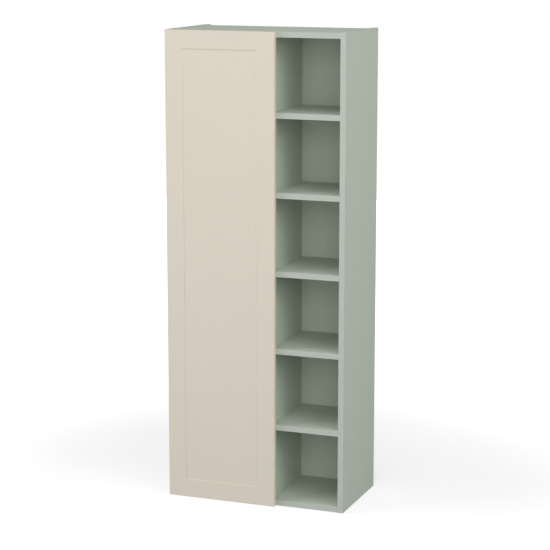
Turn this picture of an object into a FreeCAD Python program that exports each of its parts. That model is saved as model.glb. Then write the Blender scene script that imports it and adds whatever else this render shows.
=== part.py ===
import FreeCAD, Part
import math
import os

# Tall wall-hung bathroom cabinet: a door bay on the left, an open shelf bay on the right.
# All sizes are millimetres. While building, x runs from the left outer face, y from the carcass
# front edge towards the wall and z from the bottom edge of the sides. The shapes are moved to the
# bottom centre of the cabinet when they are written.

os.makedirs("parts", exist_ok=True)

# Carcass boards
cabinet_width = 600.0
cabinet_height = 1528.0
carcass_depth = 318.0
panel_thickness = 18.0
panel_edge_radius = 0.6
end_panel_inset = 1.2
wall_cavity = 30.0
back_thickness = 4.0
back_groove_depth = 6.0
panel_clearance = 0.2
door_bay_width = 317.4

# Fixed shelves of the open bay, evenly spaced
open_shelf_count = 5

# Adjustable shelves behind the door, each resting on four pins
inner_shelf_count = 4
inner_shelf_thickness = 16.0
inner_shelf_setback = 22.0
inner_shelf_side_gap = 0.6
inner_shelf_back_gap = 1.0
shelf_pin_diameter = 5.0
shelf_pin_clearance = 0.1
shelf_pin_bore_depth = 9.0
shelf_pin_end_gap = 0.5
shelf_pin_reach = 8.0
shelf_pin_bore_step = 32.0
shelf_pin_inset = 30.0

# Dowels in the carcass joints
dowel_diameter = 8.0
dowel_length = 30.0
dowel_clearance = 0.1
dowel_face_depth = 11.0
dowel_end_gap = 0.5
dowel_inset = 72.0

# Door
door_left_reveal = 1.0
door_end_reveal = 1.0
door_overhang = 18.3
door_thickness = 16.0
door_gap = 1.5
door_front_radius = 1.2
door_back_radius = 0.5
door_stile_width = 60.0
door_rail_width = 58.0
field_depth = 1.8
field_slope_width = 8.0
bumper_diameter = 8.0
bumper_to_carcass = 0.3
bumper_inset = 40.0

# Screws: shank diameter and length, head diameter and height
cup_screw = {"shank": 3.6, "length": 10.0, "head": 7.0, "head_height": 1.6}
arm_screw = {"shank": 5.0, "length": 12.0, "head": 8.0, "head_height": 2.0}
plate_screw = {"shank": 5.0, "length": 14.0, "head": 8.5, "head_height": 2.0}
hanger_screw = {"shank": 4.5, "length": 12.0, "head": 8.0, "head_height": 2.0}
screw_clearance = 0.1
screw_end_gap = 0.5

# Hinge cup in the back of the door
hinge_end_distance = 100.0
cup_diameter = 35.0
cup_tab = 5.0
cup_wall = 1.1
cup_floor = 0.9
cup_depth = 12.0
cup_bore_clearance = 0.1
cup_bore_end_gap = 0.2
cup_flange_thickness = 1.0
cup_flange_rim = 1.3
cup_mouth_relief = 0.9
cup_wing_start = 2.5
cup_wing_margin = 5.5
cup_wing_radius = 5.0
cup_screw_spacing = 45.0
cup_screw_offset = 9.5

# Hinge pivots in plan with the door closed, and the round eyes about them
arm_long_pivot = (39.0, 13.0)
arm_short_pivot = (32.25, -7.0)
cup_long_pivot = (12.25, -3.9)
cup_short_pivot = (16.0, -7.7)
arm_pin_diameter = 2.6
cup_pin_diameter = 2.2
pin_running_gap = 0.05
arm_long_eye = 5.8
arm_short_eye = 4.6
cup_long_eye = 4.4
ear_eye = 3.8
ear_side = 2.1
ear_foot_lead = 1.4
ear_foot_reach = 3.4

# Window in the short link, which leaves the cup pin free to move a little
window_offset = (-0.07, -0.81)
window_travel = 1.1
window_gap = 0.25
window_wall = 0.8

# Hinge layers, as half heights from the hinge's middle
long_link_layer = (2.0, 3.2)
ear_layer = (3.6, 4.6)
short_link_layer = (5.0, 6.4)
arm_layer = (6.8, 8.2)

# Lines that the hinge's bent sheets follow in plan
long_link_bends = [(35.0, 4.0), (28.0, -2.4), (19.5, -4.5)]
short_link_bends = [(29.0, -9.7), (22.5, -9.9)]
link_sheet_width = 2.8
link_web_thickness = 1.2
spring_line = [(33.0, 26.6), (37.5, 26.0), (39.5, 19.5), (36.0, 17.8)]
spring_thickness = 0.8
spring_width = 5.2

# Hinge arm and the mounting plate that carries it
arm_web_thickness = 1.5
arm_web_face = 42.3
arm_web_start = 19.0
arm_length = 82.0
arm_throat = (36.0, 0.0)
arm_shoulder = 12.0
arm_tail_edge = 32.0
arm_belly = (29.0, 24.0)
arm_neck = (31.0, 9.0)
arm_bend_radius = 6.0
arm_tail_radius = 3.0
arm_screw_positions = (36.0, 68.0)
plate_base_thickness = 2.5
plate_base_width = 18.0
plate_start = 27.0
plate_end = 78.0
plate_ridge_gap = 0.3
plate_screw_line = 37.0
plate_screw_spacing = 32.0
plate_wing_margin = 7.0
plate_wing_width = 15.0
plate_wing_radius = 6.0

# Hanging fittings in the cavity behind the back panel
hanger_sheet = 2.0
hanger_height = 60.0
hanger_below_top = 40.0
hanger_width = 24.0
hanger_front_gap = 3.0
hanger_wall_gap = 4.0
hanger_screw_inset = 8.0
hook_thickness = 3.0
hook_width = 14.0
hook_lip_gap = 2.0
hook_foot = 4.0
hook_tip_thickness = 2.0
hook_tip_drop = 8.0
hook_rear_gap = 1.0
adjuster_diameter = 6.0
adjuster_head = 9.0
adjuster_head_height = 2.0
adjuster_spacing = 28.0
adjuster_inset = 12.0
access_hole_diameter = 12.0
access_cap_clearance = 0.2
access_cap_brim = 2.0
access_cap_brim_thickness = 1.2
access_cap_set_in = 1.0
rail_sheet = 1.8
rail_standoff = 6.8
rail_below_hanger = 16.0
rail_lip_height = 12.0
rail_height = 40.0
rail_end_gap = 2.0
rail_hole_diameter = 6.5
rail_hole_spacing = 420.0

# How far a cutting shape runs past the surface that it opens
cut_margin = 1.0

# Sizes that follow from the ones above
inner_left = panel_thickness
inner_right = cabinet_width - panel_thickness
bottom_top = end_panel_inset + panel_thickness
top_under = cabinet_height - end_panel_inset - panel_thickness
inner_height = top_under - bottom_top
body_depth = carcass_depth - wall_cavity
back_front = body_depth - back_thickness
shelf_rear = back_front - panel_clearance
divider_left_face = inner_left + door_bay_width
divider_right_face = divider_left_face + panel_thickness
divider_middle = divider_left_face + panel_thickness / 2.0
door_right = divider_right_face + door_overhang
door_bottom = door_end_reveal
door_top = cabinet_height - door_end_reveal
door_rear = -door_gap
door_front = door_rear - door_thickness
hinge_heights = {
    "bottom": hinge_end_distance,
    "middle": cabinet_height / 2.0,
    "top": cabinet_height - hinge_end_distance,
}
shift = FreeCAD.Vector(-cabinet_width / 2.0, -(carcass_depth + door_front) / 2.0, 0.0)


def box(x0, x1, y0, y1, z0, z1):
    corner = FreeCAD.Vector(min(x0, x1), y0, z0)
    return Part.makeBox(abs(x1 - x0), y1 - y0, z1 - z0, corner)


def rod(start, direction, diameter, length):
    return Part.makeCylinder(
        diameter / 2.0, length, FreeCAD.Vector(*start), FreeCAD.Vector(*direction)
    )


def pin(point, diameter, z0, z1):
    # An upright rod at a point in plan.
    return rod((point[0], point[1], z0), (0, 0, 1), diameter, z1 - z0)


def prism(points, z0, z1):
    corners = [FreeCAD.Vector(x, y, z0) for x, y in points]
    face = Part.Face(Part.makePolygon(corners + corners[:1]))
    return face.extrude(FreeCAD.Vector(0, 0, z1 - z0))


def joined(pieces):
    result = pieces[0]
    for piece in pieces[1:]:
        result = result.fuse(piece)
    return result.removeSplitter()


def without(shape, cutters):
    for cutter in cutters:
        shape = shape.cut(cutter)
    return shape


def strip(points, width, z0, z1):
    # A flat bar of even width that follows the given line in plan, with round ends and bends.
    half = width / 2.0
    pieces = [pin(point, width, z0, z1) for point in points]
    for start, end in zip(points[:-1], points[1:]):
        length = math.hypot(end[0] - start[0], end[1] - start[1])
        side_x = -(end[1] - start[1]) / length * half
        side_y = (end[0] - start[0]) / length * half
        outline = [
            (start[0] + side_x, start[1] + side_y),
            (end[0] + side_x, end[1] + side_y),
            (end[0] - side_x, end[1] - side_y),
            (start[0] - side_x, start[1] - side_y),
        ]
        pieces.append(prism(outline, z0, z1))
    return joined(pieces)


def rounded_at(shape, points, radius):
    # Rounds the upright edges of a prism at the given points in plan.
    edges = []
    for edge in shape.Edges:
        first = edge.Vertexes[0].Point
        last = edge.Vertexes[-1].Point
        if abs(first.z - last.z) < 1e-6:
            continue
        for point in points:
            if math.hypot(first.x - point[0], first.y - point[1]) < 1e-6:
                edges.append(edge)
    return shape.makeFillet(radius, edges)


def rounded_sheet(sheet, thickness, radius):
    # Rounds the corners of a flat rectangular sheet.
    return sheet.makeFillet(radius, [edge for edge in sheet.Edges if abs(edge.Length - thickness) < 1e-6])


def eased_board(board, front):
    # Rounds the two long edges of a board's front, as its edge band is.
    edges = []
    for edge in board.Edges:
        if abs(edge.CenterOfMass.y - front) < 1e-6 and edge.Length > 2.0 * panel_thickness:
            edges.append(edge)
    return board.makeFillet(panel_edge_radius, edges)


def screw(start, direction, shank, length, head, head_height):
    # A screw with a flat round head; start is where the head meets the piece it holds.
    back = (-direction[0], -direction[1], -direction[2])
    return joined([rod(start, direction, shank, length), rod(start, back, head, head_height)])


def both_layers(layer, make):
    # The same flat piece above and below the hinge's middle.
    return [make(-layer[1], -layer[0]), make(layer[0], layer[1])]


def raised(shapes, height):
    result = []
    for shape in shapes:
        copy = shape.copy()
        copy.translate(FreeCAD.Vector(0.0, 0.0, height))
        result.append(copy)
    return result


def write(name, shapes):
    solids = []
    for shape in shapes:
        for solid in shape.Solids:
            moved = solid.copy()
            moved.translate(shift)
            solids.append(moved)
    result = solids[0] if len(solids) == 1 else Part.makeCompound(solids)
    result.exportStep(os.path.join("parts", name + ".step"))


# Dowel joints: one end of each dowel sits in a board's face, the other in a board's end
carcass_dowels = []
shelf_dowels = []
bores = {"left_side": [], "right_side": [], "divider": [], "top_panel": [], "bottom_panel": []}
dowel_rows = (dowel_inset, body_depth - dowel_inset)
dowel_bore = dowel_diameter + dowel_clearance
dowel_end_depth = dowel_length - dowel_face_depth + 2.0 * dowel_end_gap


def dowel_joint(face_point, direction, store):
    # The point lies on the face, and the direction leads from it into the other board's end.
    back = tuple(-part for part in direction)
    sunk = dowel_face_depth - dowel_end_gap
    start = tuple(place + sunk * part for place, part in zip(face_point, back))
    store.append(rod(start, direction, dowel_diameter, dowel_length))
    face_bore = rod(face_point, back, dowel_bore, dowel_face_depth)
    end_bore = rod(face_point, direction, dowel_bore, dowel_end_depth)
    return face_bore, end_bore


level_panels = {
    "top_panel": top_under + panel_thickness / 2.0,
    "bottom_panel": bottom_top - panel_thickness / 2.0,
}
for panel, middle in level_panels.items():
    for y in dowel_rows:
        for side, face_x, into in (("left_side", inner_left, 1), ("right_side", inner_right, -1)):
            face_bore, end_bore = dowel_joint((face_x, y, middle), (into, 0, 0), carcass_dowels)
            bores[side].append(face_bore)
            bores[panel].append(end_bore)

for panel, face_z, up in (("bottom_panel", bottom_top, 1), ("top_panel", top_under, -1)):
    for y in dowel_rows:
        face_bore, end_bore = dowel_joint((divider_middle, y, face_z), (0, 0, up), carcass_dowels)
        bores[panel].append(face_bore)
        bores["divider"].append(end_bore)

# Fixed shelves of the open bay, held by dowels in the divider and the right side
open_bay_height = (inner_height - open_shelf_count * panel_thickness) / (open_shelf_count + 1)
for i in range(open_shelf_count):
    underside = bottom_top + open_bay_height + i * (open_bay_height + panel_thickness)
    middle = underside + panel_thickness / 2.0
    end_bores = []
    for y in dowel_rows:
        for side, face_x, into in (("divider", divider_right_face, 1), ("right_side", inner_right, -1)):
            face_bore, end_bore = dowel_joint((face_x, y, middle), (into, 0, 0), shelf_dowels)
            bores[side].append(face_bore)
            end_bores.append(end_bore)
    shelf = box(divider_right_face, inner_right, 0.0, shelf_rear, underside, underside + panel_thickness)
    write("open_shelf_" + str(i + 1), [without(eased_board(shelf, 0.0), end_bores)])

# Adjustable shelves behind the door, with spare bores above and below each pin
shelf_pins = []
inner_bay_height = (inner_height - inner_shelf_count * inner_shelf_thickness) / (inner_shelf_count + 1)
inner_shelf_left = inner_left + inner_shelf_side_gap
inner_shelf_right = divider_left_face - inner_shelf_side_gap
inner_shelf_rear = back_front - inner_shelf_back_gap
pin_rows = (inner_shelf_setback + shelf_pin_inset, inner_shelf_rear - shelf_pin_inset)
pin_bore = shelf_pin_diameter + shelf_pin_clearance
pin_sunk = shelf_pin_bore_depth - shelf_pin_end_gap
for i in range(inner_shelf_count):
    underside = bottom_top + inner_bay_height + i * (inner_bay_height + inner_shelf_thickness)
    shelf = box(
        inner_shelf_left,
        inner_shelf_right,
        inner_shelf_setback,
        inner_shelf_rear,
        underside,
        underside + inner_shelf_thickness,
    )
    write("inner_shelf_" + str(i + 1), [eased_board(shelf, inner_shelf_setback)])
    pin_z = underside - shelf_pin_diameter / 2.0
    for y in pin_rows:
        for side, face_x, into in (("left_side", inner_left, 1), ("divider", divider_left_face, -1)):
            start = (face_x - into * pin_sunk, y, pin_z)
            shelf_pins.append(rod(start, (into, 0, 0), shelf_pin_diameter, pin_sunk + shelf_pin_reach))
            for step in (-shelf_pin_bore_step, 0.0, shelf_pin_bore_step):
                place = (face_x, y, pin_z + step)
                bores[side].append(rod(place, (-into, 0, 0), pin_bore, shelf_pin_bore_depth))

# Hinge cup, made at height zero like all hinge pieces: a shell with a flange and two ears inside
cup_centre = door_left_reveal + cup_tab + cup_diameter / 2.0
cup_inner = cup_diameter - 2.0 * cup_wall
cup_bottom = door_rear - cup_depth
flange_top = door_rear + cup_flange_thickness
ear_foot = cup_bottom + cup_floor / 2.0
hinge_reach = arm_layer[1] + cut_margin


def cup_disc(diameter, y0, y1):
    return rod((cup_centre, y0, 0.0), (0, 1, 0), diameter, y1 - y0)


def ear(z0, z1):
    # Upright inside the cup that carries both pivot pins.
    outline = [
        (cup_long_pivot[0] - ear_eye / 2.0, cup_long_pivot[1]),
        (cup_long_pivot[0] + ear_eye / 2.0, cup_long_pivot[1]),
        (cup_short_pivot[0] + ear_side, cup_short_pivot[1]),
        (cup_short_pivot[0] + ear_foot_reach, ear_foot),
        (cup_long_pivot[0] - ear_foot_lead, ear_foot),
    ]
    return joined([prism(outline, z0, z1), pin(cup_long_pivot, ear_eye, z0, z1)])


wing_half = cup_screw_spacing / 2.0 + cup_wing_margin
cup_wing = box(
    cup_centre + cup_wing_start,
    cup_centre + cup_screw_offset + cup_wing_margin,
    door_rear,
    flange_top,
    -wing_half,
    wing_half,
)
cup_shell = joined(
    [
        cup_disc(cup_diameter, cup_bottom, door_rear),
        cup_disc(cup_diameter + 2.0 * cup_flange_rim, door_rear, flange_top),
        rounded_sheet(cup_wing, cup_flange_thickness, cup_wing_radius),
    ]
)
cup_hollow = cup_disc(cup_inner, cup_bottom + cup_floor, flange_top + cut_margin)
cup_mouth = cup_disc(cup_inner + 2.0 * cup_mouth_relief, door_rear, flange_top + cut_margin)
hinge_cup = joined([without(cup_shell, [cup_hollow, cup_mouth])] + both_layers(ear_layer, ear))
cup_pins = [
    pin(cup_long_pivot, cup_pin_diameter, -ear_layer[1], ear_layer[1]),
    pin(cup_short_pivot, cup_pin_diameter, -short_link_layer[1], short_link_layer[1]),
]
door_bore_cutters = [
    cup_disc(cup_diameter + cup_bore_clearance, cup_bottom - cup_bore_end_gap, door_rear + cut_margin)
]
cup_screws = []
cup_holes = []
cup_screw_bore = cup_screw["shank"] + screw_clearance
for side in (-0.5, 0.5):
    screw_x = cup_centre + cup_screw_offset
    screw_z = side * cup_screw_spacing
    cup_screws.append(screw((screw_x, flange_top, screw_z), (0, -1, 0), **cup_screw))
    bore_start = (screw_x, flange_top + cut_margin, screw_z)
    bore_length = cup_screw["length"] + cut_margin + screw_end_gap
    screw_bore = rod(bore_start, (0, -1, 0), cup_screw_bore, bore_length)
    cup_holes.append(screw_bore)
    door_bore_cutters.append(screw_bore)
hinge_cup = without(hinge_cup, cup_holes + cup_pins)

# Long link: two bent cheeks with a web between them
long_link_line = [arm_long_pivot] + long_link_bends + [cup_long_pivot]


def long_cheek(z0, z1):
    return joined(
        [
            strip(long_link_line, link_sheet_width, z0, z1),
            pin(arm_long_pivot, arm_long_eye, z0, z1),
            pin(cup_long_pivot, cup_long_eye, z0, z1),
        ]
    )


link_web = strip(long_link_bends, link_web_thickness, -long_link_layer[0], long_link_layer[0])
long_link_holes = [
    pin(arm_long_pivot, arm_pin_diameter + 2.0 * pin_running_gap, -hinge_reach, hinge_reach),
    pin(cup_long_pivot, cup_pin_diameter + 2.0 * pin_running_gap, -hinge_reach, hinge_reach),
]
long_link = without(joined(both_layers(long_link_layer, long_cheek) + [link_web]), long_link_holes)

# Short link: a pair of bent plates with a window at the cup end
window_centre = (cup_short_pivot[0] + window_offset[0], cup_short_pivot[1] + window_offset[1])
window_diameter = cup_pin_diameter + 2.0 * (window_travel + window_gap)
short_link_line = [arm_short_pivot] + short_link_bends + [window_centre]


def short_plate(z0, z1):
    plate = joined(
        [
            strip(short_link_line, link_sheet_width, z0, z1),
            pin(arm_short_pivot, arm_short_eye, z0, z1),
            pin(window_centre, window_diameter + 2.0 * window_wall, z0, z1),
        ]
    )
    holes = [
        pin(arm_short_pivot, arm_pin_diameter + 2.0 * pin_running_gap, -hinge_reach, hinge_reach),
        pin(window_centre, window_diameter, -hinge_reach, hinge_reach),
    ]
    return without(plate, holes)


short_link = both_layers(short_link_layer, short_plate)

# Arm: a channel over the mounting plate, with two cheeks that reach into the cup
arm_back = arm_web_face + arm_web_thickness


def arm_cheek(z0, z1):
    shoulder = (arm_back, arm_shoulder)
    tail = (arm_tail_edge, arm_length)
    outline = [
        (arm_short_pivot[0] - arm_short_eye / 2.0, arm_short_pivot[1]),
        (arm_short_pivot[0] + arm_short_eye / 2.0, arm_short_pivot[1]),
        arm_throat,
        shoulder,
        (arm_back, arm_length),
        tail,
        arm_belly,
        arm_neck,
    ]
    cheek = rounded_at(prism(outline, z0, z1), [arm_throat, shoulder, arm_belly, arm_neck], arm_bend_radius)
    cheek = rounded_at(cheek, [tail], arm_tail_radius)
    return joined([cheek, pin(arm_short_pivot, arm_short_eye, z0, z1)])


arm_web = box(arm_web_face, arm_back, arm_web_start, arm_length, -arm_layer[1], arm_layer[1])
arm_pins = [pin(arm_long_pivot, arm_pin_diameter, -arm_layer[1], arm_layer[1])]
for low, high in ((-arm_layer[1], -short_link_layer[0]), (short_link_layer[0], arm_layer[1])):
    arm_pins.append(pin(arm_short_pivot, arm_pin_diameter, low, high))
arm_screws = []
arm_screw_bores = []
for y in arm_screw_positions:
    arm_screws.append(screw((arm_back, y, 0.0), (-1, 0, 0), **arm_screw))
    bore_start = (arm_back + cut_margin, y, 0.0)
    bore_length = arm_screw["length"] + cut_margin + screw_end_gap
    arm_screw_bores.append(rod(bore_start, (-1, 0, 0), arm_screw["shank"] + screw_clearance, bore_length))
hinge_arm = without(joined(both_layers(arm_layer, arm_cheek) + [arm_web]), arm_pins + arm_screw_bores)

# Mounting plate on the left side, with a ridge that fills the arm's channel
plate_top = inner_left + plate_base_thickness
plate_half = plate_base_width / 2.0
ridge_half = arm_layer[0] - plate_ridge_gap
wing_half = plate_screw_spacing / 2.0 + plate_wing_margin
plate_wings = box(
    inner_left,
    plate_top,
    plate_screw_line - plate_wing_width / 2.0,
    plate_screw_line + plate_wing_width / 2.0,
    -wing_half,
    wing_half,
)
plate_body = joined(
    [
        box(inner_left, plate_top, plate_start, plate_end, -plate_half, plate_half),
        rounded_sheet(plate_wings, plate_base_thickness, plate_wing_radius),
        box(plate_top, arm_web_face, plate_start, plate_end, -ridge_half, ridge_half),
    ]
)
plate_screws = []
plate_screw_bores = []
for side in (-0.5, 0.5):
    screw_z = side * plate_screw_spacing
    plate_screws.append(screw((plate_top, plate_screw_line, screw_z), (-1, 0, 0), **plate_screw))
    bore_start = (plate_top + cut_margin, plate_screw_line, screw_z)
    bore_length = plate_screw["length"] + cut_margin + screw_end_gap
    screw_bore = rod(bore_start, (-1, 0, 0), plate_screw["shank"] + screw_clearance, bore_length)
    plate_screw_bores.append(screw_bore)
hinge_plate = without(plate_body, arm_screw_bores + plate_screw_bores)

# Leaf spring between the plate's ridge and the heel of the long link
hinge_spring = strip(spring_line, spring_thickness, -spring_width / 2.0, spring_width / 2.0)

# The three hinges at their heights, and the bores that they need
door_bores = []
placed = {
    "arm_pins": [],
    "cup_pins": [],
    "springs": [],
    "arm_screws": [],
    "plate_screws": [],
    "cup_screws": [],
}
for place, height in hinge_heights.items():
    write("hinge_cup_" + place, raised([hinge_cup], height))
    write("hinge_long_link_" + place, raised([long_link], height))
    write("hinge_short_link_" + place, raised(short_link, height))
    write("hinge_arm_" + place, raised([hinge_arm], height))
    write("hinge_plate_" + place, raised([hinge_plate], height))
    placed["arm_pins"] += raised(arm_pins, height)
    placed["cup_pins"] += raised(cup_pins, height)
    placed["springs"] += raised([hinge_spring], height)
    placed["arm_screws"] += raised(arm_screws, height)
    placed["plate_screws"] += raised(plate_screws, height)
    placed["cup_screws"] += raised(cup_screws, height)
    door_bores += raised(door_bore_cutters, height)
    bores["left_side"] += raised(plate_screw_bores, height)
for name, shapes in placed.items():
    write("hinge_" + name, shapes)

# Hanging fittings: an angle on each side, a hook on two adjusting screws, and caps in the back panel
hanger_top = top_under - hanger_below_top
hanger_bottom = hanger_top - hanger_height
hanger_front = body_depth + hanger_front_gap
hanger_rear = carcass_depth - hanger_wall_gap
lip_top = hanger_top - rail_below_hanger
lip_front = carcass_depth - rail_standoff - rail_sheet
hook_front = lip_front - rail_sheet - hook_lip_gap - hook_thickness
hook_rear = carcass_depth - rail_sheet - hook_rear_gap
hook_top = lip_top + hook_thickness
hook_bottom = hanger_bottom + hook_foot
hook_web_rear = hook_front + hook_thickness
hook_tip_front = hook_rear - hook_tip_thickness
hook_tip_bottom = lip_top - hook_tip_drop
adjuster_length = hook_web_rear - hanger_front
adjuster_bore = adjuster_diameter + screw_clearance
adjuster_heights = (hanger_bottom + adjuster_inset, hanger_bottom + adjuster_inset + adjuster_spacing)
hanger_screw_y = (hanger_front + hanger_sheet + hanger_rear) / 2.0
hanger_screw_bore = hanger_screw["shank"] + screw_clearance
hanger_screws = []
adjusters = []
caps = []
back_holes = []
for place, face_x, into in (("left", inner_left, 1), ("right", inner_right, -1)):
    plate_edge = face_x + into * hanger_sheet
    far_edge = face_x + into * hanger_width
    near_edge = far_edge - into * hook_width
    adjuster_x = (near_edge + far_edge) / 2.0
    adjuster_cuts = []
    for z in adjuster_heights:
        start = (adjuster_x, hanger_front, z)
        adjusters.append(
            screw(start, (0, 1, 0), adjuster_diameter, adjuster_length, adjuster_head, adjuster_head_height)
        )
        cut_start = (adjuster_x, hanger_front - cut_margin, z)
        adjuster_cuts.append(rod(cut_start, (0, 1, 0), adjuster_bore, adjuster_length + 2.0 * cut_margin))
        hole_start = (adjuster_x, back_front - cut_margin, z)
        back_holes.append(
            rod(hole_start, (0, 1, 0), access_hole_diameter, back_thickness + 2.0 * cut_margin)
        )
        cap_face = (adjuster_x, back_front, z)
        plug_length = back_thickness - access_cap_set_in
        plug = rod(cap_face, (0, 1, 0), access_hole_diameter - access_cap_clearance, plug_length)
        brim_diameter = access_hole_diameter + 2.0 * access_cap_brim
        brim = rod(cap_face, (0, -1, 0), brim_diameter, access_cap_brim_thickness)
        caps.append(joined([plug, brim]))
    screw_cuts = []
    for z in (hanger_bottom + hanger_screw_inset, hanger_top - hanger_screw_inset):
        hanger_screws.append(screw((plate_edge, hanger_screw_y, z), (-into, 0, 0), **hanger_screw))
        cut_start = (plate_edge + into * cut_margin, hanger_screw_y, z)
        cut_length = hanger_screw["length"] + cut_margin + screw_end_gap
        screw_cuts.append(rod(cut_start, (-into, 0, 0), hanger_screw_bore, cut_length))
    bores[place + "_side"] += screw_cuts
    angle = joined(
        [
            box(face_x, plate_edge, hanger_front, hanger_rear, hanger_bottom, hanger_top),
            box(face_x, far_edge, hanger_front, hanger_front + hanger_sheet, hanger_bottom, hanger_top),
        ]
    )
    write("hanger_angle_" + place, [without(angle, adjuster_cuts + screw_cuts)])
    hook = joined(
        [
            box(near_edge, far_edge, hook_front, hook_web_rear, hook_bottom, hook_top),
            box(near_edge, far_edge, hook_front, hook_rear, lip_top, hook_top),
            box(near_edge, far_edge, hook_tip_front, hook_rear, hook_tip_bottom, lip_top),
        ]
    )
    write("hanger_hook_" + place, [without(hook, adjuster_cuts)])

# Wall rail: a screwed flange with a lip in front, over which the hooks reach
rail_left = inner_left + hanger_sheet + rail_end_gap
rail_right = inner_right - hanger_sheet - rail_end_gap
ledge_bottom = lip_top - rail_lip_height
ledge_top = ledge_bottom + rail_sheet
flange_bottom = ledge_bottom - rail_height
flange_front = carcass_depth - rail_sheet
rail = joined(
    [
        box(rail_left, rail_right, lip_front, lip_front + rail_sheet, ledge_bottom, lip_top),
        box(rail_left, rail_right, lip_front, carcass_depth, ledge_bottom, ledge_top),
        box(rail_left, rail_right, flange_front, carcass_depth, flange_bottom, ledge_top),
    ]
)
rail_holes = []
for side in (-0.5, 0.5):
    hole_x = cabinet_width / 2.0 + side * rail_hole_spacing
    hole_start = (hole_x, flange_front - cut_margin, (flange_bottom + ledge_bottom) / 2.0)
    rail_holes.append(rod(hole_start, (0, 1, 0), rail_hole_diameter, rail_sheet + 2.0 * cut_margin))
write("wall_rail", [without(rail, rail_holes)])

# Sides, ends and divider, with the grooves that hold the back panel
groove_front = back_front - panel_clearance / 2.0
groove_rear = body_depth + panel_clearance / 2.0
left_side = eased_board(box(0.0, inner_left, 0.0, carcass_depth, 0.0, cabinet_height), 0.0)
right_side = eased_board(box(inner_right, cabinet_width, 0.0, carcass_depth, 0.0, cabinet_height), 0.0)
groove_left = inner_left - back_groove_depth
groove_right = inner_right + back_groove_depth
left_groove = box(groove_left, inner_left, groove_front, groove_rear, bottom_top, top_under)
right_groove = box(inner_right, groove_right, groove_front, groove_rear, bottom_top, top_under)
write("left_side", [without(left_side, bores["left_side"] + [left_groove])])
write("right_side", [without(right_side, bores["right_side"] + [right_groove])])
bottom_panel = eased_board(box(inner_left, inner_right, 0.0, body_depth, end_panel_inset, bottom_top), 0.0)
write("bottom_panel", [without(bottom_panel, bores["bottom_panel"])])
top_face = top_under + panel_thickness
top_panel = eased_board(box(inner_left, inner_right, 0.0, body_depth, top_under, top_face), 0.0)
write("top_panel", [without(top_panel, bores["top_panel"])])
divider = box(divider_left_face, divider_right_face, 0.0, shelf_rear, bottom_top, top_under)
write("divider", [without(eased_board(divider, 0.0), bores["divider"])])

# Back panel, held in the grooves
in_groove = back_groove_depth - panel_clearance
back_panel = box(
    inner_left - in_groove,
    inner_right + in_groove,
    back_front,
    body_depth,
    bottom_top + panel_clearance,
    top_under - panel_clearance,
)
write("back_panel", [without(back_panel, back_holes)])

# Door: one board with a shallow milled field on its front, steep at the frame and easing into the flat
field_profile = [(0.0, 0.0), (0.08, 0.42), (0.25, 0.72), (0.52, 0.91), (1.0, 1.0)]


def field_outline(inset, depth):
    x0 = door_left_reveal + door_stile_width + inset
    x1 = door_right - door_stile_width - inset
    z0 = door_bottom + door_rail_width + inset
    z1 = door_top - door_rail_width - inset
    y = door_front + depth
    corners = [(x0, z0), (x1, z0), (x1, z1), (x0, z1), (x0, z0)]
    return Part.makePolygon([FreeCAD.Vector(x, y, z) for x, z in corners])


def edges_at(shape, y):
    return [edge for edge in shape.Edges if abs(edge.CenterOfMass.y - y) < 1e-6]


door = box(door_left_reveal, door_right, door_front, door_rear, door_bottom, door_top)
door = door.makeFillet(door_front_radius, edges_at(door, door_front))
door = door.makeFillet(door_back_radius, edges_at(door, door_rear))
field_cutters = [Part.Face(field_outline(0.0, 0.0)).extrude(FreeCAD.Vector(0.0, -cut_margin, 0.0))]
for start, end in zip(field_profile[:-1], field_profile[1:]):
    outer = field_outline(start[0] * field_slope_width, start[1] * field_depth)
    inner = field_outline(end[0] * field_slope_width, end[1] * field_depth)
    field_cutters.append(Part.makeLoft([outer, inner], True, True))
write("door", [without(door, field_cutters + door_bores)])

# Soft bumpers on the back of the door, against the divider's edge
bumpers = []
for z in (door_bottom + bumper_inset, door_top - bumper_inset):
    bumper_start = (divider_middle, door_rear, z)
    bumpers.append(rod(bumper_start, (0, 1, 0), bumper_diameter, door_gap - bumper_to_carcass))
write("door_bumpers", bumpers)

# Small pieces that share a node with their like
write("carcass_dowels", carcass_dowels)
write("shelf_dowels", shelf_dowels)
write("shelf_pins", shelf_pins)
write("hanger_screws", hanger_screws)
write("hanger_adjusters", adjusters)
write("access_caps", caps)
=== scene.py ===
import math

import bmesh
import bpy
from mathutils import Matrix, Vector


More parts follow.
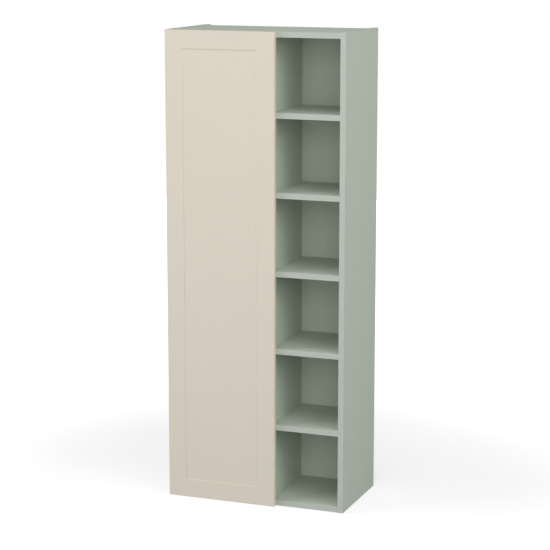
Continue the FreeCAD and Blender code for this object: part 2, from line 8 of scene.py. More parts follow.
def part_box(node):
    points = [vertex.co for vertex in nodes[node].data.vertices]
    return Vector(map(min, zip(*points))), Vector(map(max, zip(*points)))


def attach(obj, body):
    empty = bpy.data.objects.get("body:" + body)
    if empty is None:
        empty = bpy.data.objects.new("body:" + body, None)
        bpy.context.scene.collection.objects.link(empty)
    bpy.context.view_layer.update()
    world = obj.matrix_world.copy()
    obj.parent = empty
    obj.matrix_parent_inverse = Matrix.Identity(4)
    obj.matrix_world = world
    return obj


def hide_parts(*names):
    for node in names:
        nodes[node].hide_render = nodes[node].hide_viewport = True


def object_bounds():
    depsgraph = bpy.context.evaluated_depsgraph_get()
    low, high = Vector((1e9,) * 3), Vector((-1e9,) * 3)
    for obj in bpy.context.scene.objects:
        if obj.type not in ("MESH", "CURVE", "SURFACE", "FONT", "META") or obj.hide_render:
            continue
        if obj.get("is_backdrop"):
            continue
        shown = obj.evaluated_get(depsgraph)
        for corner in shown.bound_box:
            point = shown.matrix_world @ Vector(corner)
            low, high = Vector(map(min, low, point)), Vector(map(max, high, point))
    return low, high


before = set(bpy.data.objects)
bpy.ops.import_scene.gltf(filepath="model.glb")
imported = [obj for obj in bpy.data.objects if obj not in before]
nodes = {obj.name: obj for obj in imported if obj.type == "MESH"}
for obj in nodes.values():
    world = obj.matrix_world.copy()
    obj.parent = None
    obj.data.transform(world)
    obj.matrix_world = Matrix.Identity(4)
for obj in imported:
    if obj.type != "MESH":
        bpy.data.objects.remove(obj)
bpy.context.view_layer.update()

# Sides: two 18 mm chipboard panels faced with a matt sage green decor that has a fine pressed grain.
# The front edges have an eased band in a slightly greyer green, also painted darker than the faces,
# which is painted shade on the front edges. The bores, the groove for the back and the rear edges show
# the bare chipboard.
sage_light = (0.482, 0.539, 0.458, 1.0)
sage_dark = (0.463, 0.519, 0.440, 1.0)
# The band is a greyer green and is painted darker as well: painted shade on the front edges.
shaded_band_light = (0.420, 0.455, 0.404, 1.0)
shaded_band_dark = (0.404, 0.438, 0.388, 1.0)
chip_light = (0.56, 0.43, 0.28, 1.0)
chip_dark = (0.27, 0.18, 0.10, 1.0)
chips_per_metre = 420.0
decor_depth = 0.0009
band_depth = 0.0008
decor_grain = 700.0
decor_patches = 6.0
decor_roughness = (0.66, 0.78)
decor_specular = 0.3
pressed_strength = 0.25
pressed_depth = 0.0002


def connect(tree, node, sockets):
    """Links a node's inputs to other sockets, or sets them to plain values."""
    for name, value in sockets.items():
        if isinstance(value, bpy.types.NodeSocket):
            tree.links.new(value, node.inputs[name])
        else:
            node.inputs[name].default_value = value


def add(tree, kind, sockets, **settings):
    """Adds a node of a kind, first its settings and then its inputs."""
    node = tree.nodes.new(kind)
    for name, value in settings.items():
        setattr(node, name, value)
    connect(tree, node, sockets)
    return node


def new_group(name, inputs, outputs):
    """An empty shader node group: its tree, the sockets it is given and the node that takes its results."""
    tree = bpy.data.node_groups.new(name, "ShaderNodeTree")
    for label, kind in inputs.items():
        tree.interface.new_socket(label, in_out="INPUT", socket_type="NodeSocket" + kind)
    for label, kind in outputs.items():
        tree.interface.new_socket(label, in_out="OUTPUT", socket_type="NodeSocket" + kind)
    return tree, tree.nodes.new("NodeGroupInput").outputs, tree.nodes.new("NodeGroupOutput")


def new_material(name):
    """A new material, its node tree, its shader and its object coordinates in metres."""
    material = bpy.data.materials.new(name)
    material.use_nodes = True
    tree = material.node_tree
    coords = add(tree, "ShaderNodeTexCoord", {}).outputs["Object"]
    return material, tree, tree.nodes["Principled BSDF"], coords


def worked_out(tree, operation, *values):
    """The result of a Math node."""
    return add(tree, "ShaderNodeMath", dict(enumerate(values)), operation=operation).outputs[0]


def vector_result(tree, operation, *vectors):
    """The result of a Vector Math node."""
    return add(tree, "ShaderNodeVectorMath", dict(enumerate(vectors)), operation=operation).outputs[0]


def parts_of(tree, vector):
    """A vector's X, Y and Z."""
    return add(tree, "ShaderNodeSeparateXYZ", {0: vector}).outputs


def noise(tree, coords, scale, detail, roughness=0.5, distortion=0.0):
    """A noise from 0 to 1; its scale is a count to the metre."""
    sizes = {"Vector": coords, "Scale": scale, "Detail": detail}
    shape = {"Roughness": roughness, "Distortion": distortion}
    return add(tree, "ShaderNodeTexNoise", sizes | shape).outputs["Fac"]


def mixed(tree, share, first, second):
    """A colour between two; a Mix node has its colours on sockets 6 and 7 and its result on 2."""
    return add(tree, "ShaderNodeMix", {0: share, 6: first, 7: second}, data_type="RGBA").outputs[2]


def between(tree, share, low, high):
    """A value between two."""
    ends = {"Value": share, "To Min": low, "To Max": high}
    return add(tree, "ShaderNodeMapRange", ends).outputs["Result"]


def bumped(tree, height, strength, depth):
    """The normal of a surface with a fine relief."""
    relief = {"Height": height, "Strength": strength, "Distance": depth}
    return add(tree, "ShaderNodeBump", relief).outputs["Normal"]


def dress(material, *names):
    """Gives CAD nodes a material."""
    for name in names:
        for slot in nodes[name].material_slots:
            slot.material = material


# The texture of a finish: a fine height for its bump, and slow patches for its colour and gloss
finish_group, given, filled = new_group(
    "finish_texture",
    {"Vector": "Vector", "Grain Scale": "Float", "Patch Scale": "Float"},
    {"Height": "Float", "Patches": "Float"},
)
fine = noise(finish_group, given["Vector"], given["Grain Scale"], detail=2.0, roughness=0.6)
slow = noise(finish_group, given["Vector"], given["Patch Scale"], detail=4.0, roughness=0.55)
connect(finish_group, filled, {"Height": fine, "Patches": slow})

# Where a board's core shows: further in than the decor from every face, or on the rear edge
core_group, given, filled = new_group(
    "bare_core",
    {"Vector": "Vector", "Centre": "Vector", "Half Size": "Vector", "Rear": "Float"},
    {"Mask": "Float"},
)
offset = vector_result(core_group, "SUBTRACT", given["Vector"], given["Centre"])
reach = vector_result(core_group, "ABSOLUTE", offset)
past = parts_of(core_group, vector_result(core_group, "SUBTRACT", reach, given["Half Size"]))
most = worked_out(core_group, "MAXIMUM", past["X"], past["Y"])
most = worked_out(core_group, "MAXIMUM", most, past["Z"])
inside = worked_out(core_group, "LESS_THAN", most, 0.0)
depth = parts_of(core_group, given["Vector"])["Y"]
behind = worked_out(core_group, "GREATER_THAN", depth, given["Rear"])
connect(core_group, filled, {"Mask": worked_out(core_group, "MAXIMUM", inside, behind)})


def finish_texture(tree, coords, grain, patches):
    """The outputs of the finish texture, placed in a material with its own sizes."""
    sizes = {"Vector": coords, "Grain Scale": grain, "Patch Scale": patches}
    return add(tree, "ShaderNodeGroup", sizes, node_tree=finish_group).outputs


def press_decor(tree, shader, coords):
    """Gives a shader the decor's gloss and pressed grain; returns the patches for its colours."""
    finish = finish_texture(tree, coords, decor_grain, decor_patches)
    surface = {
        "Roughness": between(tree, finish["Patches"], *decor_roughness),
        "Specular IOR Level": decor_specular,
        "Normal": bumped(tree, finish["Height"], pressed_strength, pressed_depth),
    }
    connect(tree, shader, surface)
    return finish["Patches"]


def board_material(node):
    """The sage decor and the edge band with its painted shade on a board, and the chipboard where the
    board's core shows.
    """
    low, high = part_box(node)
    material, tree, shader, coords = new_material(node + "_board")
    patches = press_decor(tree, shader, coords)
    core_sizes = {
        "Vector": coords,
        "Centre": (low + high) / 2.0,
        "Half Size": (high - low) / 2.0 - Vector((decor_depth, decor_depth, decor_depth)),
        "Rear": high.y - decor_depth / 4.0,
    }
    core = add(tree, "ShaderNodeGroup", core_sizes, node_tree=core_group).outputs["Mask"]
    banded = worked_out(tree, "LESS_THAN", parts_of(tree, coords)["Y"], low.y + band_depth)
    chips = add(tree, "ShaderNodeTexVoronoi", {"Vector": coords, "Scale": chips_per_metre})
    chip_share = add(tree, "ShaderNodeSeparateColor", {0: chips.outputs["Color"]}).outputs[0]
    decor_colour = mixed(tree, patches, sage_dark, sage_light)
    shaded_band_colour = mixed(tree, patches, shaded_band_dark, shaded_band_light)
    chip_colour = mixed(tree, chip_share, chip_dark, chip_light)
    face_colour = mixed(tree, banded, decor_colour, shaded_band_colour)
    connect(tree, shader, {"Base Color": mixed(tree, core, face_colour, chip_colour)})
    return material


for board in ("left_side", "right_side"):
    dress(board_material(board), board)

# Top and bottom panels: the same 18 mm board, fitted between the sides a little inside their ends.
# Both stop 30 mm short of the sides' rear edges and are held by beech dowels.
for board in ("top_panel", "bottom_panel"):
    dress(board_material(board), board)

# Divider: an upright of the same board between the door bay and the open bay.
# It stands on dowels between the bottom and the top, with bores for shelf pins on its left face.
dress(board_material("divider"), "divider")

# Back panel: a 4 mm hardboard sheet let into grooves in the sides, in front of the hanging fittings.
# Its front has the sage decor, its rear is the bare brown board.
hardboard_light = (0.40, 0.265, 0.160, 1.0)
hardboard_dark = (0.19, 0.113, 0.060, 1.0)
hardboard_fibres = 14.0
back_low, back_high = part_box("back_panel")
back_middle = (back_low + back_high) / 2.0
material, tree, shader, coords = new_material("back_board")
patches = press_decor(tree, shader, coords)
fibres = noise(tree, coords, hardboard_fibres, detail=8.0, roughness=0.72)
behind = worked_out(tree, "GREATER_THAN", parts_of(tree, coords)["Y"], back_middle.y)
front_colour = mixed(tree, patches, sage_dark, sage_light)
rear_colour = mixed(tree, fibres, hardboard_dark, hardboard_light)
connect(tree, shader, {"Base Color": mixed(tree, behind, front_colour, rear_colour)})
dress(material, "back_panel")

# Dowels: fluted beech pins glued into the boards' faces and ends.
# They join the carcass and carry the fixed shelves, out of sight once the cabinet is together.
beech_light = (0.66, 0.47, 0.29, 1.0)
beech_dark = (0.50, 0.33, 0.19, 1.0)
beech_rays = 500.0
beech_roughness = (0.5, 0.7)
material, tree, shader, coords = new_material("beech")
rays = noise(tree, coords, beech_rays, detail=4.0, distortion=1.0)
surface = {
    "Base Color": mixed(tree, rays, beech_dark, beech_light),
    "Roughness": between(tree, rays, *beech_roughness),
}
connect(tree, shader, surface)
dress(material, "carcass_dowels", "shelf_dowels")

# Open shelves: five fixed 18 mm boards in the same sage decor, evenly spaced beside the door.
# Each is doweled to the divider and the right side, with its front edge flush with theirs.
for number in range(1, 6):
    board = "open_shelf_" + str(number)
    dress(board_material(board), board)

# Inner shelves: four loose 16 mm boards behind the door, in the same decor with eased front edges.
# They rest on pins and stand back from the front to clear the hinges.
for number in range(1, 5):
    board = "inner_shelf_" + str(number)
    dress(board_material(board), board)

# Shelf pins: nickel plated steel pegs, four under each inner shelf.
# Each is turned with a thin collar that stops it at the face of the board and a rounded end.
nickel_light = (0.66, 0.64, 0.60, 1.0)
nickel_dark = (0.54, 0.52, 0.49, 1.0)
pin_streaks = (900.0, 3000.0, 3000.0)
pin_roughness = (0.24, 0.36)
streak_strength = 0.2
streak_depth = 0.00003
collar_radius = 0.0036
collar_thickness = 0.0005
merge_distance = 1e-6
sharp_angle = math.radians(40.0)
along_x = Vector((1.0, 0.0, 0.0))

# Fine streaks in a metal, counted to the metre on each axis and longest where the count is lowest
streak_group, given, filled = new_group(
    "brushed_streaks", {"Vector": "Vector", "Stretch": "Vector"}, {"Streaks": "Float"}
)
stretched = add(streak_group, "ShaderNodeMapping", {"Vector": given["Vector"], "Scale": given["Stretch"]})
streaks = noise(streak_group, stretched.outputs["Vector"], scale=1.0, detail=3.0)
connect(streak_group, filled, {"Streaks": streaks})


def metal_material(name, dark, light, stretch, roughness):
    """A bare or plated metal with fine streaks in its colour, gloss and relief."""
    material, tree, shader, coords = new_material(name)
    brushed = add(tree, "ShaderNodeGroup", {"Vector": coords, "Stretch": stretch}, node_tree=streak_group)
    streaks = brushed.outputs["Streaks"]
    surface = {
        "Base Color": mixed(tree, streaks, dark, light),
        "Metallic": 1.0,
        "Roughness": between(tree, streaks, *roughness),
        "Normal": bumped(tree, streaks, streak_strength, streak_depth),
    }
    connect(tree, shader, surface)
    return material


def solid_boxes(node):
    """The box of each separate solid in a CAD node."""
    mesh = bmesh.new()
    mesh.from_mesh(nodes[node].data)
    bmesh.ops.remove_doubles(mesh, verts=mesh.verts, dist=merge_distance)
    left = set(mesh.verts)
    boxes = []
    while left:
        waiting = [left.pop()]
        places = []
        while waiting:
            vert = waiting.pop()
            places.append(vert.co.copy())
            for edge in vert.link_edges:
                other = edge.other_vert(vert)
                if other in left:
                    left.discard(other)
                    waiting.append(other)
        low = Vector([min(place[i] for place in places) for i in range(3)])
        high = Vector([max(place[i] for place in places) for i in range(3)])
        boxes.append((low, high))
    mesh.free()
    return boxes


def facing(place, direction):
    """Turns the z axis to a direction and moves the origin to a place."""
    turn = Vector((0.0, 0.0, 1.0)).rotation_difference(direction).to_matrix().to_4x4()
    return Matrix.Translation(place) @ turn


def add_turned(mesh, profile, placed, steps=24):
    """Adds a turned piece; its profile is given as radius and height along the axis."""
    before = set(mesh.verts)
    verts = [mesh.verts.new((radius, 0.0, height)) for radius, height in profile]
    edges = [mesh.edges.new(pair) for pair in zip(verts[:-1], verts[1:])]
    bmesh.ops.spin(
        mesh,
        geom=verts + edges,
        cent=(0.0, 0.0, 0.0),
        axis=(0.0, 0.0, 1.0),
        angle=2.0 * math.pi,
        steps=steps,
        use_merge=True,
    )
    made = [vert for vert in mesh.verts if vert not in before]
    bmesh.ops.transform(mesh, matrix=placed, verts=made)


def new_piece(name, mesh, material, body, replaced):
    """Shows a new piece in place of a CAD node; it moves with the given body."""
    bmesh.ops.remove_doubles(mesh, verts=mesh.verts, dist=merge_distance)
    bmesh.ops.recalc_face_normals(mesh, faces=mesh.faces)
    data = bpy.data.meshes.new(name)
    mesh.to_mesh(data)
    mesh.free()
    data.polygons.foreach_set("use_smooth", [True] * len(data.polygons))
    data.set_sharp_from_angle(angle=sharp_angle)
    data.materials.append(material)
    piece = bpy.data.objects.new(name, data)
    bpy.context.scene.collection.objects.link(piece)
    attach(piece, body)
    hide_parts(replaced)


pin_metal = metal_material("pin_nickel", nickel_dark, nickel_light, pin_streaks, pin_roughness)
side_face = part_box("left_side")[1].x
divider_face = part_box("divider")[0].x
mesh = bmesh.new()
for low, high in solid_boxes("shelf_pins"):
    middle = (low + high) / 2.0
    radius = (high.z - low.z) / 2.0
    length = high.x - low.x
    if middle.x < (side_face + divider_face) / 2.0:
        inwards = along_x
        start = low.x
        sunk = side_face - start
    else:
        inwards = -along_x
        start = high.x
        sunk = start - divider_face
    profile = [
        (0.0, 0.0),
        (radius * 0.8, 0.0),
        (radius, radius * 0.2),
        (radius, sunk),
        (collar_radius, sunk),
        (collar_radius, sunk + collar_thickness),
        (radius, sunk + collar_thickness),
        (radius, length - radius * 0.4),
        (radius * 0.9, length - radius * 0.15),
        (radius * 0.7, length),
        (0.0, length),
    ]
    add_turned(mesh, profile, facing(Vector((start, middle.y, middle.z)), inwards))
new_piece("turned_shelf_pins", mesh, pin_metal, "carcass", "shelf_pins")

# Hinge plates and arms: pressed steel, nickel plated, with fine drawing marks along the arm.
# A winged plate is screwed to the left side, and the arm sits over its ridge on two screws.
hinge_places = ("bottom", "middle", "top")
arm_streaks = (1600.0, 120.0, 1600.0)
arm_roughness = (0.26, 0.40)
hinge_metal = metal_material("hinge_nickel", nickel_dark, nickel_light, arm_streaks, arm_roughness)
for place in hinge_places:
    dress(hinge_metal, "hinge_plate_" + place, "hinge_arm_" + place)

# Screws of the plates and arms: zinc plated steel with pan heads and cross recesses.
# The plate screws hold in the side's chipboard, the arm screws in the plate's ridge.
zinc_light = (0.62, 0.63, 0.64, 1.0)
zinc_dark = (0.44, 0.45, 0.47, 1.0)
screw_streaks = (700.0, 700.0, 700.0)
screw_roughness = (0.30, 0.46)
plate_screw_shank = 0.0025
plate_screw_head = 0.002


def ring(mesh, radius, height):
    """The edges of a circle round the z axis."""
    lifted = Matrix.Translation((0.0, 0.0, height))
    made = bmesh.ops.create_circle(mesh, segments=24, radius=radius, matrix=lifted)
    return list({edge for vert in made["verts"] for edge in vert.link_edges})


def cross(mesh, reach, half_width, height):
    """The edges of a cross with four equal arms round the z axis."""
    corners = []
    for quarter in range(4):
        turn = Matrix.Rotation(quarter * math.pi / 2.0, 3, "Z")
        for x, y in ((reach, -half_width), (reach, half_width), (half_width, half_width)):
            corners.append(turn @ Vector((x, y, height)))
    verts = [mesh.verts.new(corner) for corner in corners]
    return [mesh.edges.new((verts[i - 1], verts[i])) for i in range(len(verts))]


def add_screw(mesh, box, outwards, shank_radius, head_height):
    """Adds a screw the size of a CAD screw's box, with its head at the outward end."""
    low, high = box
    half = (high - low) / 2.0
    length = 2.0 * abs(half.dot(outwards))
    head_radius = max(half - Vector([abs(part) for part in outwards]) * abs(half.dot(outwards)))
    before = set(mesh.verts)
    loops = [
        cross(mesh, head_radius * 0.30, head_radius * 0.06, -head_height * 0.75),
        cross(mesh, head_radius * 0.52, head_radius * 0.11, 0.0),
        ring(mesh, head_radius * 0.70, 0.0),
        ring(mesh, head_radius * 0.92, -head_height * 0.25),
        ring(mesh, head_radius, -head_height * 0.6),
        ring(mesh, head_radius, -head_height),
        ring(mesh, shank_radius, -head_height),
        ring(mesh, shank_radius, -length + shank_radius),
        ring(mesh, shank_radius * 0.3, -length),
    ]
    for first, second in zip(loops[:-1], loops[1:]):
        bmesh.ops.bridge_loops(mesh, edges=first + second)
    bmesh.ops.edgeloop_fill(mesh, edges=loops[0])
    bmesh.ops.edgeloop_fill(mesh, edges=loops[-1])
    made = [vert for vert in mesh.verts if vert not in before]
    top = (low + high) / 2.0 + outwards * length / 2.0
    bmesh.ops.transform(mesh, matrix=facing(top, outwards), verts=made)


screw_zinc = metal_material("screw_zinc", zinc_dark, zinc_light, screw_streaks, screw_roughness)
mesh = bmesh.new()
for box in solid_boxes("hinge_plate_screws"):
    add_screw(mesh, box, along_x, plate_screw_shank, plate_screw_head)
new_piece("cross_plate_screws", mesh, screw_zinc, "carcass", "hinge_plate_screws")
mesh = bmesh.new()
for box in solid_boxes("hinge_arm_screws"):
    add_screw(mesh, box, along_x, plate_screw_shank, plate_screw_head)
new_piece("cross_arm_screws", mesh, screw_zinc, "carcass", "hinge_arm_screws")

# Hinge links and springs: bent plates of the same nickel plated steel that carry the door's cup.
# A leaf spring under the arm presses on the heel of the long link and pulls the door shut.
link_streaks = (500.0, 500.0, 2400.0)
link_roughness = (0.26, 0.40)
spring_streaks = (600.0, 600.0, 2400.0)
spring_roughness = (0.28, 0.42)
link_metal = metal_material("link_nickel", nickel_dark, nickel_light, link_streaks, link_roughness)
spring_metal = metal_material("spring_steel", zinc_dark, zinc_light, spring_streaks, spring_roughness)
for place in hinge_places:
    dress(link_metal, "hinge_long_link_" + place, "hinge_short_link_" + place)
dress(spring_metal, "hinge_springs")

# Hinge pins: hardened steel rivets, two through each arm's cheeks and two in each cup.
# The ends of the arm pins are headed over into low domes outside the cheeks.
rivet_radius = 0.0020
rivet_height = 0.0005


def pin_end(radius, domed):
    """A pin's end from its shank to its axis, as radius and height over the end."""
    if not domed:
        return [(radius, 0.0), (0.0, 0.0)]
    dome = [(rivet_radius, 0.0), (rivet_radius * 0.8, rivet_height * 0.7), (0.0, rivet_height)]
    return [(radius, 0.0)] + dome


dress(pin_metal, "hinge_cup_pins")
hinge_heights = [sum(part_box("hinge_arm_" + place), Vector()).z / 2.0 for place in hinge_places]
mesh = bmesh.new()
for low, high in solid_boxes("hinge_arm_pins"):
    middle = (low + high) / 2.0
    radius = (high.x - low.x) / 2.0
    length = high.z - low.z
    hinge_height = min(hinge_heights, key=lambda height: abs(height - middle.z))
    lower_end = [(r, -h) for r, h in pin_end(radius, low.z < hinge_height)]
    upper_end = [(r, length + h) for r, h in pin_end(radius, high.z > hinge_height)]
    profile = lower_end[::-1] + upper_end
    add_turned(mesh, profile, Matrix.Translation((middle.x, middle.y, low.z)), steps=16)
new_piece("riveted_arm_pins", mesh, pin_metal, "carcass", "hinge_arm_pins")

# Hinge cups: deep drawn nickel plated steel cups with winged flanges, pressed into bores in the door.
# Two ears inside each cup carry the pivot pins of the links.
cup_streaks = (900.0, 900.0, 900.0)
cup_roughness = (0.22, 0.36)
cup_metal = metal_material("cup_nickel", nickel_dark, nickel_light, cup_streaks, cup_roughness)
for place in hinge_places:
    dress(cup_metal, "hinge_cup_" + place)

# Cup screws: short zinc plated screws with pan heads and cross recesses.
# They hold the wings of each cup's flange on the back of the door.
cup_screw_shank = 0.0018
cup_screw_head = 0.0016
rearwards = Vector((0.0, 1.0, 0.0))
mesh = bmesh.new()
for box in solid_boxes("hinge_cup_screws"):
    add_screw(mesh, box, rearwards, cup_screw_shank, cup_screw_head)
new_piece("cross_cup_screws", mesh, screw_zinc, "door", "hinge_cup_screws")

# Door: one 16 mm fibreboard panel with a shallow field milled into its front inside a plain frame.
# It is sprayed all round in a cream satin lacquer, which leaves a faint orange peel. The door's outer
# edges are painted a lighter, warmer cream, which is painted light. The field's steep border is painted
# darker, which is painted shade in the crevice where the field meets the frame.
cream_light = (0.594, 0.548, 0.473, 1.0)
cream_dark = (0.579, 0.533, 0.458, 1.0)
# Painted light: the door's outer edges are coloured lighter and warmer than its face, as they look when
# lit.
painted_edge_light = (0.730, 0.615, 0.490, 1.0)
painted_edge_dark = (0.714, 0.599, 0.474, 1.0)
# Painted shade: the field's steep border is coloured darker, where shade gathers in the crevice.
shaded_border_light = (0.479, 0.427, 0.344, 1.0)
shaded_border_dark = (0.464, 0.412, 0.329, 1.0)
lacquer_grain = 220.0
lacquer_patches = 4.0
lacquer_roughness = (0.36, 0.44)
peel_strength = 0.12
peel_depth = 0.0003
skin = 0.0003
steep_start = 0.0001
steep_end = 0.0008
door_low, door_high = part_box("door")
door_middle = (door_low + door_high) / 2.0
half_door = (door_high - door_low) / 2.0
steep_middle = door_low.y + (steep_start + steep_end) / 2.0
steep_reach = (steep_end - steep_start) / 2.0
material, tree, shader, coords = new_material("cream_lacquer")
finish = finish_texture(tree, coords, lacquer_grain, lacquer_patches)
offset = vector_result(tree, "SUBTRACT", coords, door_middle)
reach = parts_of(tree, vector_result(tree, "ABSOLUTE", offset))
edge_x = worked_out(tree, "GREATER_THAN", reach["X"], half_door.x - skin)
edge_z = worked_out(tree, "GREATER_THAN", reach["Z"], half_door.z - skin)
edges = worked_out(tree, "MAXIMUM", edge_x, edge_z)
border_shade_mask = worked_out(tree, "COMPARE", parts_of(tree, coords)["Y"], steep_middle, steep_reach)
face_colour = mixed(tree, finish["Patches"], cream_dark, cream_light)
shaded_border_colour = mixed(tree, finish["Patches"], shaded_border_dark, shaded_border_light)
painted_edge_colour = mixed(tree, finish["Patches"], painted_edge_dark, painted_edge_light)
front_colour = mixed(tree, border_shade_mask, face_colour, shaded_border_colour)
surface = {
    "Base Color": mixed(tree, edges, front_colour, painted_edge_colour),
    "Roughness": between(tree, finish["Patches"], *lacquer_roughness),
    "Normal": bumped(tree, finish["Height"], peel_strength, peel_depth),
}
connect(tree, shader, surface)
dress(material, "door")

# Bumpers: two small soft domes of clear polymer stuck to the back of the door near its free edge.
# They keep the door off the carcass when it closes.
polymer_light = (0.72, 0.72, 0.70, 1.0)
polymer_dark = (0.60, 0.60, 0.58, 1.0)
polymer_clouds = 600.0
polymer_roughness = (0.3, 0.45)
polymer_scatter = 0.3
scatter_depth = 0.002
material, tree, shader, coords = new_material("bumper_polymer")
clouds = noise(tree, coords, polymer_clouds, detail=2.0)
surface = {
    "Base Color": mixed(tree, clouds, polymer_dark, polymer_light),
    "Roughness": between(tree, clouds, *polymer_roughness),
    "Subsurface Weight": polymer_scatter,
    "Subsurface Scale": scatter_depth,
}
connect(tree, shader, surface)
mesh = bmesh.new()
for low, high in solid_boxes("door_bumpers"):
    middle = (low + high) / 2.0
    radius = (high.x - low.x) / 2.0
    height = high.y - low.y
    profile = [
        (0.0, 0.0),
        (radius, 0.0),
        (radius, height * 0.35),
        (radius * 0.9, height * 0.68),
        (radius * 0.7, height * 0.88),
        (radius * 0.4, height * 0.98),
        (0.0, height),
    ]
    add_turned(mesh, profile, facing(Vector((middle.x, low.y, middle.z)), rearwards))
new_piece("domed_bumpers", mesh, material, "door", "door_bumpers")

# Hangers: bent zinc plated steel angles screwed to the sides in the cavity behind the back panel.
# Each carries a hook on two adjusting screws, which reaches over the wall rail.
sheet_streaks = (260.0, 260.0, 260.0)
sheet_roughness = (0.34, 0.52)
sheet_zinc = metal_material("sheet_zinc", zinc_dark, zinc_light, sheet_streaks, sheet_roughness)
dress(sheet_zinc, "hanger_angle_left", "hanger_angle_right", "hanger_hook_left", "hanger_hook_right")

# Hanger screws and adjusters: zinc plated steel with pan heads and cross recesses.
# The adjusters point at the access holes in the back panel.
hanger_screw_shank = 0.00225
adjuster_shank = 0.003
hanger_screw_head = 0.002
mesh = bmesh.new()
for box in solid_boxes("hanger_screws"):
    inwards = along_x if box[0].x < 0.0 else -along_x
    add_screw(mesh, box, inwards, hanger_screw_shank, hanger_screw_head)
new_piece("cross_hanger_screws", mesh, screw_zinc, "carcass", "hanger_screws")
mesh = bmesh.new()
for box in solid_boxes("hanger_adjusters"):
    add_screw(mesh, box, -rearwards, adjuster_shank, hanger_screw_head)
new_piece("cross_adjusters", mesh, screw_zinc, "carcass", "hanger_adjusters")

# Access caps: moulded plastic plugs in the green of the boards, pushed into the back panel's holes.
# They cover the hangers' adjusting screws.
cap_light = (0.47, 0.51, 0.45, 1.0)
cap_dark = (0.44, 0.48, 0.42, 1.0)
cap_grain = 2500.0
cap_patches = 150.0
cap_roughness = (0.45, 0.55)
mould_strength = 0.2
mould_depth = 0.0001
material, tree, shader, coords = new_material("cap_plastic")
finish = finish_texture(tree, coords, cap_grain, cap_patches)
surface = {
    "Base Color": mixed(tree, finish["Patches"], cap_dark, cap_light),
    "Roughness": between(tree, finish["Patches"], *cap_roughness),
    "Normal": bumped(tree, finish["Height"], mould_strength, mould_depth),
}
connect(tree, shader, surface)
dress(material, "access_caps")

# Wall rail: a long bent strip of zinc plated steel that is screwed to the wall.
# The hooks of both hangers hang over its front lip.
rail_streaks = (40.0, 900.0, 900.0)
rail_roughness = (0.32, 0.48)
rail_zinc = metal_material("rail_zinc", zinc_dark, zinc_light, rail_streaks, rail_roughness)
dress(rail_zinc, "wall_rail")

# Floor: a plain pale studio floor that fades to white away from the cabinet.
# It keeps the cabinet's soft shadow and throws a little light back up.
white = (1.0, 1.0, 1.0, 1.0)
floor_shade = (0.40, 0.40, 0.40, 1.0)
floor_radius = 30.0
floor_gap = 0.0002
floor_pale = 0.66
fade_start = 0.7
fade_end = 2.0


def shown_rays(tree):
    """One for what the camera sees, straight or in a reflection, and zero for light on a surface."""
    path = add(tree, "ShaderNodeLightPath", {}).outputs
    seen = worked_out(tree, "MAXIMUM", path["Is Camera Ray"], path["Is Glossy Ray"])
    return worked_out(tree, "MAXIMUM", seen, path["Is Transmission Ray"])


mesh = bmesh.new()
lowered = Matrix.Translation((0.0, 0.0, -floor_gap))
bmesh.ops.create_circle(mesh, cap_ends=True, segments=64, radius=floor_radius, matrix=lowered)
data = bpy.data.meshes.new("floor")
mesh.to_mesh(data)
mesh.free()
floor = bpy.data.objects.new("floor", data)
bpy.context.scene.collection.objects.link(floor)
material = bpy.data.materials.new("studio_floor")
material.use_nodes = True
tree = material.node_tree
tree.nodes.clear()
coords = add(tree, "ShaderNodeTexCoord", {}).outputs["Object"]
distance = add(tree, "ShaderNodeVectorMath", {0: coords}, operation="LENGTH").outputs["Value"]
fade = {"Value": distance, "From Min": fade_start, "From Max": fade_end}
shades = {"To Min": floor_pale, "To Max": 1.0}
paleness = add(tree, "ShaderNodeMapRange", fade | shades, interpolation_type="SMOOTHSTEP").outputs["Result"]
glow = worked_out(tree, "MULTIPLY", paleness, shown_rays(tree))
emission = add(tree, "ShaderNodeEmission", {"Color": white, "Strength": glow})
diffuse = add(tree, "ShaderNodeBsdfDiffuse", {"Color": floor_shade})
both = add(tree, "ShaderNodeAddShader", {0: emission.outputs[0], 1: diffuse.outputs[0]})
add(tree, "ShaderNodeOutputMaterial", {"Surface": both.outputs[0]})
data.materials.append(material)
floor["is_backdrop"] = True

# Light: a white studio with soft light from all round and six large soft lamps about the cabinet.
# They light the front evenly and the right side a little less, and reach into the open bay.
soft_light = 0.06
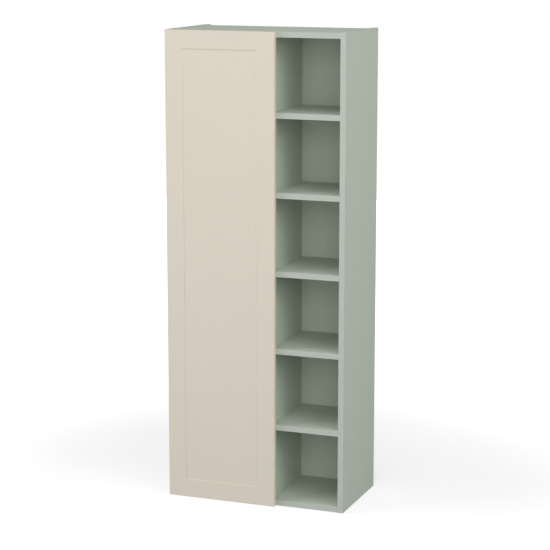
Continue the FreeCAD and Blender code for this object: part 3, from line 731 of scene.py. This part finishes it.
lamp_distance = 6.5
lamp_size = 4.0
lamp_aim = Vector((0.0, 0.0, 0.8))
# Each lamp's turn to the right of the front and rise in degrees, and its power in watts
lamps = {
    "left_lamp": (-60.0, 20.0, 257.0),
    "front_lamp": (12.0, 12.0, 128.0),
    "high_lamp": (0.0, 50.0, 66.0),
    "right_front_lamp": (50.0, 25.0, 154.0),
    "right_lamp": (75.0, 30.0, 140.0),
    "rear_lamp": (195.0, 5.0, 140.0),
}
world = bpy.data.worlds.new("studio")
world.use_nodes = True
bpy.context.scene.world = world
tree = world.node_tree
tree.nodes.clear()
strength = between(tree, shown_rays(tree), soft_light, 1.0)
backdrop = add(tree, "ShaderNodeBackground", {"Color": white, "Strength": strength})
add(tree, "ShaderNodeOutputWorld", {"Surface": backdrop.outputs[0]})
for name, (turn, rise, power) in lamps.items():
    level = lamp_distance * math.cos(math.radians(rise))
    place = Vector((level * math.sin(math.radians(turn)), -level * math.cos(math.radians(turn)), 0.0))
    place.z = lamp_distance * math.sin(math.radians(rise))
    lamp = bpy.data.lights.new(name, "AREA")
    lamp.shape = "SQUARE"
    lamp.size = lamp_size
    lamp.energy = power
    stand = bpy.data.objects.new(name, lamp)
    stand.location = lamp_aim + place
    stand.rotation_euler = (-place).to_track_quat("-Z", "Y").to_euler()
    stand.visible_camera = False
    stand.visible_glossy = abs(turn) < 90.0
    bpy.context.scene.collection.objects.link(stand)

# Camera: stands to the right of the front and a little above the cabinet's top, as for the photograph.
# The lens is long, so the cabinet's edges run together only slightly.
camera_place = (2.088, -5.38, 1.833)
camera_turn = math.radians(21.12)
camera_fall = math.radians(10.82)
camera = bpy.data.cameras.new("camera")
camera.sensor_width = 36.0
camera.lens = 117.94
view = bpy.data.objects.new("camera", camera)
view.location = camera_place
view.rotation_euler = (math.pi / 2.0 - camera_fall, 0.0, camera_turn)
bpy.context.scene.collection.objects.link(view)
bpy.context.scene.camera = view
bpy.context.scene.view_settings.view_transform = "Standard"

low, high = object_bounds()
